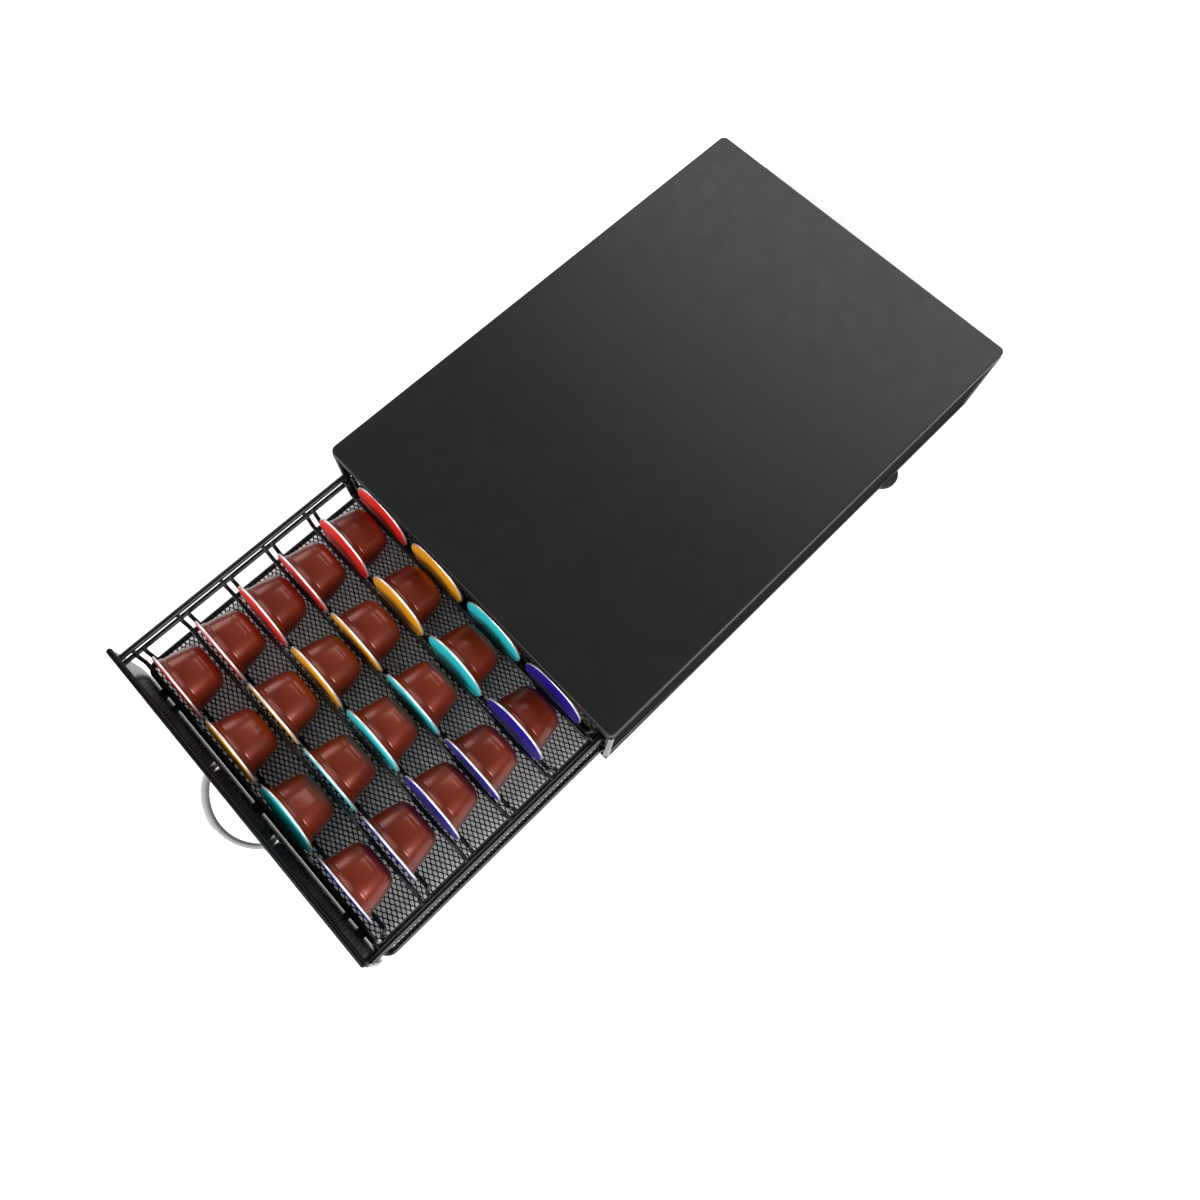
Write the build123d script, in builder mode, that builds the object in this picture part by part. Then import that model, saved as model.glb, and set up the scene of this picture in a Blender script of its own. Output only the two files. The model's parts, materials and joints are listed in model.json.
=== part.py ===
from build123d import *
import math
import os

os.makedirs("parts", exist_ok=True)

# A wire drawer for coffee pods: a low cabinet of wire, mesh and sheet steel that a coffee
# machine stands on, with one drawer that holds rows of pods on edge between pairs of wires.
# Millimetres, +Z up, the drawer opens towards -Y. The drawer stands open as it is drawn here.
# The origin is on the table, under the middle of the whole outline with the drawer open.

# Cabinet. Its width follows from the columns of pods, and its depth from the rows
cabinet_height = 56.5
sheet_thickness = 1.0
rim_height = 5.0
rim_corner_radius = 3.5
post_diameter = 3.5
post_setback = 0.3
base_wire_diameter = 4.0
top_wire_diameter = 3.0
cross_wire_diameter = 3.0
cross_wire_count = 5
last_cross_wire_setback = 28.7
panel_mesh_thickness = 0.6
panel_mesh_seat = 0.05

# Feet
foot_diameter = 18.4
foot_height = 2.0
foot_collar_diameter = 9.0
foot_collar_inset = 2.6
foot_grip_clearance = 0.05
front_foot_setback = 18.0
front_foot_inset = 0.5
rear_foot_setback = 66.2
rear_foot_overhang = 3.4

# Drawer guides and stops
guide_thickness = 0.8
guide_height = 6.8
guide_cover = 2.0
guide_seat = 0.05
rail_head_gap = 0.5
stop_tab_length = 2.0
stop_tab_drop = 6.0
stop_tab_gap = 0.4
stop_lug_length = 2.0
stop_lug_height = 3.4
stop_lug_side_gap = 1.1
stop_lug_setback = 24.0

# Drawer
drawer_pull = 135.3
drawer_rear_gap = 11.0
drawer_slide_gap = 0.3
drawer_side_gap = 0.55
frame_wire_diameter = 2.8
frame_corner_radius = 5.0
floor_inset = 1.0
floor_mesh_thickness = 0.6
outer_rail_diameter = 3.0
outer_rail_inset = 2.0
outer_rail_height = 27.5
inner_rail_diameter = 2.4
inner_rail_step_in = 2.2
inner_rail_step_down = 2.6
rear_post_diameter = 2.8

# Front panel and handle
panel_thickness = 2.0
panel_end_inset = 1.0
panel_table_gap = 3.0
panel_head_gap = 2.0
panel_corner_radius = 9.0
roll_diameter = 3.0
panel_tab_height = 1.6
panel_slit = 0.5
end_tabs = ((15.8, 5.0), (25.8, 3.3))
middle_tab_width = 6.6
handle_span = 44.0
handle_reach = 16.0
handle_bar_diameter = 4.4
handle_end_radius = 8.0
handle_height = 27.0
screw_diameter = 2.5
screw_grip = 3.0
screw_clearance = 0.05
screw_head_diameter = 5.0
screw_head_height = 1.6
screw_recess_width = 0.7
screw_recess_length = 2.8
screw_recess_depth = 0.7

# Wire pairs that hold the pods
row_count = 10
row_gap = 5.58
first_row_setback = 7.2
last_row_room = 33.68
slot_room = 0.7
pair_wire_diameter = 2.0
pair_bend_radius = 1.8
front_wire_height = 16.8
front_wire_lean = 0.9
back_wire_shoulder_in = 2.2
back_wire_shoulder_down = 0.8
back_wire_shoulder_fall = 0.8
back_wire_foot_in = 4.3

# Pods
pod_columns = ("red", "orange", "teal", "blue")
pod_column_gap = 4.2
pod_side_room = 4.5
pod_sideways = -2.5
pod_seat_gap = 0.1
pod_back_gap = 0.2
pod_max_centre = 1.6
flange_radius = 18.5
flange_rim_radius = 0.6
flange_width = 2.5
cup_depth = 19.6
cup_wall = 0.5
cup_step_depth = 3.4
cup_step_taper = 0.7
cup_side_taper = 2.35
cup_shoulder_height = 3.8
cup_shoulder_width = 3.5
lid_inset = 0.2
lid_thickness = 0.3
first_row_leans = (8.0, 10.0, 13.5, 7.5)
later_row_leans = (4.5, 5.5, 1.5, 4.0, 2.0)

# Mesh cells: how far apart the diamonds stand along and across, and the strand between them
side_cell = (12.0, 8.0)
floor_cell = (21.4, 15.8)
side_strand = 1.6
floor_strand = 2.4
side_mesh_border = 2.5
floor_mesh_border = 4.0

# Radii and depths of a pod
rim_centre = flange_radius - flange_rim_radius
lid_radius = rim_centre - lid_inset
cup_mouth_radius = flange_radius - flange_width
cup_step_radius = cup_mouth_radius - cup_step_taper
cup_shoulder_radius = cup_step_radius - cup_wall - cup_side_taper
cup_end_radius = cup_shoulder_radius - cup_shoulder_width
cup_shoulder_depth = cup_depth - cup_shoulder_height

# Slots between the wires of a pair, and how the pods stand in them
slot_gap = 2 * flange_rim_radius + lid_thickness + slot_room
pair_spacing = slot_gap + pair_wire_diameter
pod_toe = slot_gap / 2 - pod_back_gap - flange_rim_radius
pod_column_pitch = 2 * flange_radius + pod_column_gap
row_pitch = cup_depth + row_gap

# Heights worked out from the values above
base_wire_z = foot_height + base_wire_diameter / 2
cross_wire_z = base_wire_z - cross_wire_diameter / 2
frame_wire_z = base_wire_z + drawer_slide_gap + frame_wire_diameter / 2
floor_bottom = frame_wire_z + frame_wire_diameter / 2
floor_top = floor_bottom + floor_mesh_thickness
outer_rail_z = floor_top + outer_rail_height
inner_rail_z = outer_rail_z - inner_rail_step_down
sheet_underside = cabinet_height - sheet_thickness
rim_bottom = cabinet_height - rim_height
base_wire_top = foot_height + base_wire_diameter
top_wire_z = sheet_underside - top_wire_diameter / 2
panel_top = rim_bottom - panel_head_gap
roll_z = panel_top - roll_diameter / 2
guide_bottom = outer_rail_z + outer_rail_diameter / 2 + rail_head_gap
front_wire_z = floor_top + front_wire_height
floor_wire_z = floor_top + pair_wire_diameter / 2

# Places across the object, as distances from the middle, from the pods out to the cabinet
pod_half_span = flange_radius + (len(pod_columns) - 1) * pod_column_pitch / 2
back_wire_neck_x = pod_half_span + pod_side_room + pair_wire_diameter / 2
inner_rail_x = back_wire_neck_x + back_wire_shoulder_in
outer_rail_x = inner_rail_x + inner_rail_step_in
frame_half_width = outer_rail_x + outer_rail_inset
frame_wire_x = frame_half_width - frame_wire_diameter / 2
floor_half_width = frame_half_width - floor_inset
post_inner_x = frame_half_width + drawer_side_gap
post_x = post_inner_x + post_diameter / 2
half_width = post_x + post_diameter / 2
cabinet_width = 2 * half_width
base_wire_x = half_width - base_wire_diameter / 2
side_mesh_outer_x = half_width - sheet_thickness - 2 * panel_mesh_seat
side_mesh_inner_x = side_mesh_outer_x - panel_mesh_thickness
guide_outer_x = side_mesh_inner_x - guide_seat
guide_leg_x = guide_outer_x - guide_thickness
guide_tip_x = outer_rail_x + outer_rail_diameter / 2 - guide_cover
stop_tab_inner_x = outer_rail_x + outer_rail_diameter / 2 + stop_tab_gap
stop_lug_outer_x = side_mesh_inner_x - stop_lug_side_gap
panel_half_width = frame_half_width - panel_end_inset
front_foot_x = half_width - front_foot_inset - foot_diameter / 2
rear_foot_x = half_width + rear_foot_overhang - foot_diameter / 2

# Places along the object
row_span = (row_count - 1) * row_pitch
drawer_length = panel_thickness + first_row_setback + row_span + last_row_room
cabinet_depth = drawer_length + drawer_rear_gap
cabinet_front = -(cabinet_depth - drawer_pull - handle_reach) / 2
cabinet_back = cabinet_front + cabinet_depth
front_post_y = cabinet_front + post_setback + post_diameter / 2
rear_post_y = cabinet_back - post_setback - post_diameter / 2
side_front = front_post_y + post_diameter / 2 + panel_mesh_seat
side_back = rear_post_y - post_diameter / 2 - panel_mesh_seat
back_mesh_outer_y = cabinet_back - sheet_thickness - panel_mesh_seat
back_mesh_inner_y = back_mesh_outer_y - panel_mesh_thickness
rear_base_wire_y = cabinet_back - base_wire_diameter / 2
front_top_wire_y = cabinet_front + sheet_thickness + panel_mesh_seat + top_wire_diameter / 2
rear_top_wire_y = back_mesh_inner_y - panel_mesh_seat - top_wire_diameter / 2
panel_outer = cabinet_front - drawer_pull
panel_inner = panel_outer + panel_thickness
first_cross_wire_y = (
    cabinet_front + panel_thickness + drawer_slide_gap + cross_wire_diameter / 2
)
last_cross_wire_y = cabinet_back - last_cross_wire_setback
cross_wire_pitch = (last_cross_wire_y - first_cross_wire_y) / (cross_wire_count - 1)
frame_front = panel_inner + panel_slit
frame_back = panel_outer + drawer_length
frame_front_wire_y = frame_front + frame_wire_diameter / 2
frame_back_wire_y = frame_back - frame_wire_diameter / 2
first_slot_y = panel_inner + first_row_setback
front_foot_y = cabinet_front + front_foot_setback
rear_foot_y = cabinet_back - rear_foot_setback


def straight_wire(start, end, diameter):
    """Make a round wire from one point to the other, with square ends."""
    run = Vector(*end) - Vector(*start)
    with BuildPart() as wire:
        with BuildSketch(Plane(origin=start, z_dir=run)):
            Circle(diameter / 2)
        extrude(amount=run.length)
    return wire


def bent_wire(points, diameter, bend_radius):
    """Make a round wire along straight runs joined by equal bends."""
    with BuildPart() as wire:
        with BuildLine() as route:
            FilletPolyline(*points, radius=bend_radius)
        with BuildSketch(Plane(origin=route.line @ 0, z_dir=route.line % 0)):
            Circle(diameter / 2)
        sweep(path=route.line)
    return wire


def diamond_centres(length, width, cell, border):
    """Find the centres of staggered diamonds that lie whole inside a bordered field."""
    half_long = (length / 2 - border - cell[0] / 2) / (cell[0] / 2)
    half_wide = (width / 2 - border - cell[1] / 2) / (cell[1] / 2)
    across = range(-math.floor(half_long), math.floor(half_long) + 1)
    along = range(-math.floor(half_wide), math.floor(half_wide) + 1)
    centres = []
    for column in across:
        for row in along:
            if (column + row) % 2 == 0:
                centres.append((column * cell[0] / 2, row * cell[1] / 2))
    return centres


def cut_diamonds(centres, cell, strand, middle):
    """Cut one diamond at each centre from the sketch that is being drawn."""
    slope = math.hypot(cell[0], cell[1])
    half_long = cell[0] / 2 - strand * slope / cell[1] / 2
    half_wide = cell[1] / 2 - strand * slope / cell[0] / 2
    corners = ((half_long, 0), (0, half_wide), (-half_long, 0), (0, -half_wide))
    places = [(middle[0] + centre[0], middle[1] + centre[1]) for centre in centres]
    with Locations(*places):
        Polygon(*corners, mode=Mode.SUBTRACT)


# The top: a sheet folded down all round into a shallow rim
with BuildPart() as top_panel:
    with BuildSketch(Plane.XY.offset(rim_bottom)):
        with Locations((0, cabinet_front + cabinet_depth / 2)):
            RectangleRounded(cabinet_width, cabinet_depth, rim_corner_radius)
    extrude(amount=rim_height)
    with BuildSketch(Plane.XY.offset(rim_bottom)):
        with Locations((0, cabinet_front + cabinet_depth / 2)):
            RectangleRounded(
                cabinet_width - 2 * sheet_thickness,
                cabinet_depth - 2 * sheet_thickness,
                rim_corner_radius - sheet_thickness,
            )
    extrude(amount=rim_height - sheet_thickness, mode=Mode.SUBTRACT)
    top_edges = top_panel.edges().group_by(Axis.Z)[-1]
    fillet(top_edges, radius=0.45 * sheet_thickness)
top_panel.part.label = "top_panel"
export_step(top_panel.part, "parts/top_panel.step")

# Mesh walls, each one sheet with staggered diamond gaps
side_length = side_back - side_front
side_tall = sheet_underside - panel_mesh_seat - base_wire_top
side_middle = (side_front + side_length / 2, base_wire_top + side_tall / 2)
side_centres = diamond_centres(side_length, side_tall, side_cell, side_mesh_border)
for side_name, mesh_x in (("left", -side_mesh_outer_x), ("right", side_mesh_inner_x)):
    with BuildPart() as side_mesh:
        with BuildSketch(Plane.YZ.offset(mesh_x)):
            with Locations(side_middle):
                Rectangle(side_length, side_tall)
            cut_diamonds(side_centres, side_cell, side_strand, side_middle)
        extrude(amount=panel_mesh_thickness)
    side_mesh.part.label = side_name + "_mesh"
    export_step(side_mesh.part, "parts/" + side_name + "_mesh.step")

back_width = 2 * (post_inner_x - panel_mesh_seat)
back_middle = (0, side_middle[1])
back_centres = diamond_centres(back_width, side_tall, side_cell, side_mesh_border)
with BuildPart() as back_mesh:
    with BuildSketch(Plane.XZ.offset(-back_mesh_inner_y)):
        with Locations(back_middle):
            Rectangle(back_width, side_tall)
        cut_diamonds(back_centres, side_cell, side_strand, back_middle)
    extrude(amount=-panel_mesh_thickness)
back_mesh.part.label = "back_mesh"
export_step(back_mesh.part, "parts/back_mesh.step")

# Corner posts stand on the side base wires and carry the rim of the top
for side_name, side in (("left", -1), ("right", 1)):
    for end_name, post_y in (("front", front_post_y), ("rear", rear_post_y)):
        post_foot = (side * post_x, post_y, base_wire_top)
        post_head = (side * post_x, post_y, rim_bottom)
        post = straight_wire(post_foot, post_head, post_diameter)
        post_name = side_name + "_" + end_name + "_post"
        post.part.label = post_name
        export_step(post.part, "parts/" + post_name + ".step")

# Base wires along both sides and across the back
for side_name, side in (("left", -1), ("right", 1)):
    wire_front = (side * base_wire_x, cabinet_front + post_setback, base_wire_z)
    wire_back = (side * base_wire_x, cabinet_back, base_wire_z)
    base_wire = straight_wire(wire_front, wire_back, base_wire_diameter)
    base_wire.part.label = side_name + "_base_wire"
    export_step(base_wire.part, "parts/" + side_name + "_base_wire.step")

rear_wire_reach = base_wire_x - base_wire_diameter / 2
rear_base_wire = straight_wire(
    (-rear_wire_reach, rear_base_wire_y, base_wire_z),
    (rear_wire_reach, rear_base_wire_y, base_wire_z),
    base_wire_diameter,
)
rear_base_wire.part.label = "rear_base_wire"
export_step(rear_base_wire.part, "parts/rear_base_wire.step")

# Wires under the front and rear edges of the top
top_wire_reach = half_width - rim_corner_radius
for end_name, wire_y in (("front", front_top_wire_y), ("rear", rear_top_wire_y)):
    top_wire = straight_wire(
        (-top_wire_reach, wire_y, top_wire_z),
        (top_wire_reach, wire_y, top_wire_z),
        top_wire_diameter,
    )
    top_wire.part.label = end_name + "_top_wire"
    export_step(top_wire.part, "parts/" + end_name + "_top_wire.step")

# Cross wires under the drawer, with their ends shaped to the base wires
for number in range(cross_wire_count):
    wire_y = first_cross_wire_y + number * cross_wire_pitch
    with BuildPart() as cross_wire:
        with BuildSketch(Plane.YZ.offset(-base_wire_x)):
            with Locations((wire_y, cross_wire_z)):
                Circle(cross_wire_diameter / 2)
        extrude(amount=2 * base_wire_x)
        with BuildSketch(Plane.XZ.offset(-(wire_y - cross_wire_diameter))):
            with Locations((-base_wire_x, base_wire_z), (base_wire_x, base_wire_z)):
                Circle(base_wire_diameter / 2)
        extrude(amount=-2 * cross_wire_diameter, mode=Mode.SUBTRACT)
    wire_name = "cross_wire_" + str(number + 1)
    cross_wire.part.label = wire_name
    export_step(cross_wire.part, "parts/" + wire_name + ".step")

# Angle strips on the side meshes keep the drawer's rails down
for side_name, side in (("left", -1), ("right", 1)):
    with BuildPart() as guide:
        with BuildSketch(Plane.XZ.offset(-side_front)):
            with BuildLine():
                Polyline(
                    (side * guide_outer_x, guide_bottom),
                    (side * guide_tip_x, guide_bottom),
                    (side * guide_tip_x, guide_bottom + guide_thickness),
                    (side * guide_leg_x, guide_bottom + guide_thickness),
                    (side * guide_leg_x, guide_bottom + guide_height),
                    (side * guide_outer_x, guide_bottom + guide_height),
                    close=True,
                )
            make_face()
        extrude(amount=-side_length)
    guide.part.label = side_name + "_guide"
    export_step(guide.part, "parts/" + side_name + "_guide.step")

# Stop tabs hang from the front ends of the guides, outside the path of the rails
for side_name, side in (("left", -1), ("right", 1)):
    with BuildPart() as stop_tab:
        with BuildSketch(Plane.XZ.offset(-side_front)):
            with Locations((side * stop_tab_inner_x, guide_bottom)):
                Rectangle(
                    guide_outer_x - stop_tab_inner_x,
                    stop_tab_drop,
                    align=(Align.MIN if side > 0 else Align.MAX, Align.MAX),
                )
        extrude(amount=-stop_tab_length)
    stop_tab.part.label = side_name + "_stop_tab"
    export_step(stop_tab.part, "parts/" + side_name + "_stop_tab.step")

# Rubber feet: a disc with a collar that grips the base wire
foot_places = (
    ("left_front_foot", -front_foot_x, front_foot_y, -1),
    ("right_front_foot", front_foot_x, front_foot_y, 1),
    ("left_rear_foot", -rear_foot_x, rear_foot_y, -1),
    ("right_rear_foot", rear_foot_x, rear_foot_y, 1),
)
for foot_name, foot_x, foot_y, side in foot_places:
    collar_x = side * (base_wire_x - foot_collar_inset)
    with BuildPart() as foot:
        with BuildSketch(Plane.XY):
            with Locations((foot_x, foot_y)):
                Circle(foot_diameter / 2)
        extrude(amount=foot_height)
        fillet(foot.edges().group_by(Axis.Z)[-1], radius=0.3 * foot_height)
        with BuildSketch(Plane.XY.offset(foot_height / 2)):
            with Locations((collar_x, foot_y)):
                Circle(foot_collar_diameter / 2)
        extrude(amount=base_wire_z - foot_height / 2)
        with BuildSketch(Plane.XZ.offset(-(foot_y - foot_diameter))):
            with Locations((side * base_wire_x, base_wire_z)):
                Circle(base_wire_diameter / 2 + foot_grip_clearance)
        extrude(amount=-2 * foot_diameter, mode=Mode.SUBTRACT)
    foot.part.label = foot_name
    export_step(foot.part, "parts/" + foot_name + ".step")

# Front panel: a plate with rounded lower corners and a rolled top edge
panel_middle_y = panel_outer + panel_thickness / 2
with BuildPart() as front_panel:
    with BuildSketch(Plane.XZ.offset(-panel_outer)) as panel_outline:
        with Locations((0, panel_table_gap)):
            Rectangle(
                2 * panel_half_width,
                roll_z - panel_table_gap,
                align=(Align.CENTER, Align.MIN),
            )
        lower_corners = panel_outline.vertices().group_by(Axis.Z)[0]
        fillet(lower_corners, radius=panel_corner_radius)
    extrude(amount=-panel_thickness)
    with BuildSketch(Plane.YZ.offset(-(panel_half_width - roll_diameter / 2))):
        with Locations((panel_middle_y, roll_z)):
            Circle(roll_diameter / 2)
    extrude(amount=2 * panel_half_width - roll_diameter)
    with Locations(
        (-(panel_half_width - roll_diameter / 2), panel_middle_y, roll_z),
        (panel_half_width - roll_diameter / 2, panel_middle_y, roll_z),
    ):
        Sphere(roll_diameter / 2)
    with BuildSketch(Plane.XZ.offset(-panel_outer)):
        with Locations((-handle_span / 2, handle_height), (handle_span / 2, handle_height)):
            Circle(screw_diameter / 2 + screw_clearance)
    extrude(amount=-panel_thickness, mode=Mode.SUBTRACT)
front_panel.part.label = "front_panel"
export_step(front_panel.part, "parts/front_panel.step")

# Handle: an arch of round bar, tapped at both ends for its screws
bar_reach = handle_reach - handle_bar_diameter / 2
arch_half = handle_span / 2
arch_inset = arch_half - handle_end_radius
arch_radius = (arch_inset**2 + bar_reach**2 - handle_end_radius**2) / (
    2 * (bar_reach - handle_end_radius)
)
arch_centre_y = panel_outer - bar_reach + arch_radius
joint_angle = math.atan2(arch_inset, arch_centre_y - panel_outer)
joint_x = arch_radius * math.sin(joint_angle)
joint_y = arch_centre_y - arch_radius * math.cos(joint_angle)
with BuildPart() as handle:
    with BuildLine() as arch:
        left_end = TangentArc(
            (-arch_half, panel_outer, handle_height),
            (-joint_x, joint_y, handle_height),
            tangent=(0, -1, 0),
        )
        crown = ThreePointArc(
            left_end @ 1,
            (0, panel_outer - bar_reach, handle_height),
            (joint_x, joint_y, handle_height),
        )
        TangentArc(crown @ 1, (arch_half, panel_outer, handle_height), tangent=crown % 1)
    with BuildSketch(Plane(origin=arch.line @ 0, z_dir=arch.line % 0)):
        Circle(handle_bar_diameter / 2)
    sweep(path=arch.line)
    with BuildSketch(Plane.XZ.offset(-panel_outer)):
        with Locations((-arch_half, handle_height), (arch_half, handle_height)):
            Circle(screw_diameter / 2 + screw_clearance)
    extrude(amount=screw_grip, mode=Mode.SUBTRACT)
handle.part.label = "handle"
export_step(handle.part, "parts/handle.step")

# Two screws hold the handle from inside the panel
with BuildPart() as handle_screws:
    for screw_x in (-arch_half, arch_half):
        with BuildSketch(Plane.XZ.offset(-panel_inner)):
            with Locations((screw_x, handle_height)):
                Circle(screw_head_diameter / 2)
        extrude(amount=-screw_head_height)
        with BuildSketch(Plane.XZ.offset(-panel_inner)):
            with Locations((screw_x, handle_height)):
                Circle(screw_diameter / 2)
        extrude(amount=panel_thickness + screw_grip - screw_clearance)
    head_edges = handle_screws.edges().group_by(Axis.Y)[-1]
    fillet(head_edges, radius=0.6 * screw_head_height)
    recess_plane = Plane.XZ.offset(-(panel_inner + screw_head_height))
    with BuildSketch(recess_plane):
        with Locations((-arch_half, handle_height), (arch_half, handle_height)):
            Rectangle(screw_recess_length, screw_recess_width)
            Rectangle(screw_recess_width, screw_recess_length)
    extrude(amount=screw_recess_depth, mode=Mode.SUBTRACT)
handle_screws.part.label = "handle_screws"
export_step(handle_screws.part, "parts/handle_screws.step")

# Floor frame: one wire bent into a ring under the floor mesh
frame_middle_y = (frame_front_wire_y + frame_back_wire_y) / 2
frame_length = frame_back_wire_y - frame_front_wire_y
with BuildPart() as floor_frame_wire:
    with BuildSketch(Plane.XY.offset(frame_wire_z)) as ring_outer:
        with Locations((0, frame_middle_y)):
            RectangleRounded(2 * frame_wire_x, frame_length, frame_corner_radius)
    ring = ring_outer.sketch.faces()[0].outer_wire()
    with BuildSketch(Plane(origin=ring @ 0, z_dir=ring % 0)) as ring_section:
        Circle(frame_wire_diameter / 2)
    sweep(sections=ring_section.sketch, path=ring)
floor_frame_wire.part.label = "floor_frame_wire"
export_step(floor_frame_wire.part, "parts/floor_frame_wire.step")

# Floor mesh, laid on the frame a little inside its outer edge
floor_front = frame_front + floor_inset
floor_back = frame_back - floor_inset
floor_length = floor_back - floor_front
floor_middle = (0, floor_front + floor_length / 2)
floor_corner_radius = frame_corner_radius + frame_wire_diameter / 2 - floor_inset
floor_centres = diamond_centres(
    2 * floor_half_width, floor_length, floor_cell, floor_mesh_border
)
with BuildPart() as floor_mesh:
    with BuildSketch(Plane.XY.offset(floor_bottom)):
        with Locations(floor_middle):
            RectangleRounded(2 * floor_half_width, floor_length, floor_corner_radius)
        cut_diamonds(floor_centres, floor_cell, floor_strand, floor_middle)
    extrude(amount=floor_mesh_thickness)
floor_mesh.part.label = "floor_mesh"
export_step(floor_mesh.part, "parts/floor_mesh.step")

# Short tabs join the panel to the front of the floor frame across a narrow slit
panel_tabs = [(0, middle_tab_width)]
for tab_setback, tab_width in end_tabs:
    panel_tabs.append((-(frame_wire_x - tab_setback), tab_width))
    panel_tabs.append((frame_wire_x - tab_setback, tab_width))
with BuildPart() as front_tabs:
    for tab_x, tab_width in panel_tabs:
        with BuildSketch(Plane.XY.offset(frame_wire_z - panel_tab_height / 2)):
            with Locations((tab_x, panel_inner)):
                Rectangle(
                    tab_width,
                    frame_front_wire_y - panel_inner,
                    align=(Align.CENTER, Align.MIN),
                )
        extrude(amount=panel_tab_height)
    with BuildSketch(Plane.YZ.offset(-frame_wire_x)):
        with Locations((frame_front_wire_y, frame_wire_z)):
            Circle(frame_wire_diameter / 2)
    extrude(amount=2 * frame_wire_x, mode=Mode.SUBTRACT)
front_tabs.part.label = "front_tabs"
export_step(front_tabs.part, "parts/front_tabs.step")

# Side rails at half height: a thicker outer wire and a thinner inner one a little lower
for side_name, side in (("left", -1), ("right", 1)):
    outer_rail = straight_wire(
        (side * outer_rail_x, panel_inner, outer_rail_z),
        (side * outer_rail_x, frame_back, outer_rail_z),
        outer_rail_diameter,
    )
    outer_rail.part.label = side_name + "_outer_rail"
    export_step(outer_rail.part, "parts/" + side_name + "_outer_rail.step")
    inner_rail = straight_wire(
        (side * inner_rail_x, panel_inner, inner_rail_z),
        (side * inner_rail_x, frame_back_wire_y - rear_post_diameter / 2, inner_rail_z),
        inner_rail_diameter,
    )
    inner_rail.part.label = side_name + "_inner_rail"
    export_step(inner_rail.part, "parts/" + side_name + "_inner_rail.step")

# The rear wire of the drawer runs between the outer rails, its ends shaped to them
with BuildPart() as drawer_rear_wire:
    with BuildSketch(Plane.YZ.offset(-outer_rail_x)):
        with Locations((frame_back_wire_y, outer_rail_z)):
            Circle(frame_wire_diameter / 2)
    extrude(amount=2 * outer_rail_x)
    with BuildSketch(Plane.XZ.offset(-(frame_back_wire_y - frame_wire_diameter))):
        with Locations((-outer_rail_x, outer_rail_z), (outer_rail_x, outer_rail_z)):
            Circle(outer_rail_diameter / 2)
    extrude(amount=-2 * frame_wire_diameter, mode=Mode.SUBTRACT)
drawer_rear_wire.part.label = "drawer_rear_wire"
export_step(drawer_rear_wire.part, "parts/drawer_rear_wire.step")

# Rear posts of the drawer stand on the floor and carry the rear wire
for side_name, side in (("left", -1), ("right", 1)):
    drawer_post = straight_wire(
        (side * inner_rail_x, frame_back_wire_y, floor_top),
        (side * inner_rail_x, frame_back_wire_y, outer_rail_z - frame_wire_diameter / 2),
        rear_post_diameter,
    )
    drawer_post.part.label = side_name + "_drawer_post"
    export_step(drawer_post.part, "parts/" + side_name + "_drawer_post.step")

# Stop lugs on the outer rails meet the stop tabs when the drawer is pulled right out
lug_back = frame_back - stop_lug_setback
for side_name, side in (("left", -1), ("right", 1)):
    with BuildPart() as stop_lug:
        with BuildSketch(Plane.XZ.offset(-(lug_back - stop_lug_length))):
            with Locations((side * outer_rail_x, outer_rail_z)):
                Rectangle(
                    stop_lug_outer_x - outer_rail_x,
                    stop_lug_height,
                    align=(Align.MIN if side > 0 else Align.MAX, Align.CENTER),
                )
                Circle(outer_rail_diameter / 2, mode=Mode.SUBTRACT)
        extrude(amount=-stop_lug_length)
    stop_lug.part.label = side_name + "_stop_lug"
    export_step(stop_lug.part, "parts/" + side_name + "_stop_lug.step")

# Wire pairs: the front wire hangs from both rails and crosses at half the height of a pod;
# the back wire starts on the inner rail, slopes down beside the flanges and crosses on the floor
wire_radius = pair_wire_diameter / 2
front_wire_head_z = inner_rail_z + inner_rail_diameter / 2 + wire_radius
front_wire_neck_x = inner_rail_x - inner_rail_diameter / 2 - wire_radius
front_wire_foot_x = front_wire_neck_x - front_wire_lean
back_wire_head_z = front_wire_head_z - back_wire_shoulder_down
back_wire_neck_z = back_wire_head_z - back_wire_shoulder_fall
back_wire_foot_x = back_wire_neck_x - back_wire_foot_in
for row in range(row_count):
    slot_y = first_slot_y + row * row_pitch
    front_y = slot_y - pair_spacing / 2
    back_y = slot_y + pair_spacing / 2
    front_route = (
        (-outer_rail_x, front_y, front_wire_head_z),
        (-front_wire_neck_x, front_y, front_wire_head_z),
        (-front_wire_foot_x, front_y, front_wire_z),
        (front_wire_foot_x, front_y, front_wire_z),
        (front_wire_neck_x, front_y, front_wire_head_z),
        (outer_rail_x, front_y, front_wire_head_z),
    )
    back_route = (
        (-inner_rail_x, back_y, back_wire_head_z),
        (-back_wire_neck_x, back_y, back_wire_neck_z),
        (-back_wire_foot_x, back_y, floor_wire_z),
        (back_wire_foot_x, back_y, floor_wire_z),
        (back_wire_neck_x, back_y, back_wire_neck_z),
        (inner_rail_x, back_y, back_wire_head_z),
    )
    front_wire = bent_wire(front_route, pair_wire_diameter, pair_bend_radius)
    back_wire = bent_wire(back_route, pair_wire_diameter, pair_bend_radius)
    with BuildPart() as wire_pair:
        add(front_wire.part)
        add(back_wire.part)
        with BuildSketch(Plane.XZ.offset(-(front_y - pair_wire_diameter))):
            with Locations((-outer_rail_x, outer_rail_z), (outer_rail_x, outer_rail_z)):
                Circle(outer_rail_diameter / 2)
            with Locations((-inner_rail_x, inner_rail_z), (inner_rail_x, inner_rail_z)):
                Circle(inner_rail_diameter / 2)
        extrude(amount=-(pair_spacing + 2 * pair_wire_diameter), mode=Mode.SUBTRACT)
    pair_name = "wire_pair_" + str(row + 1)
    wire_pair.part.label = pair_name
    export_step(wire_pair.part, "parts/" + pair_name + ".step")

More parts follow.
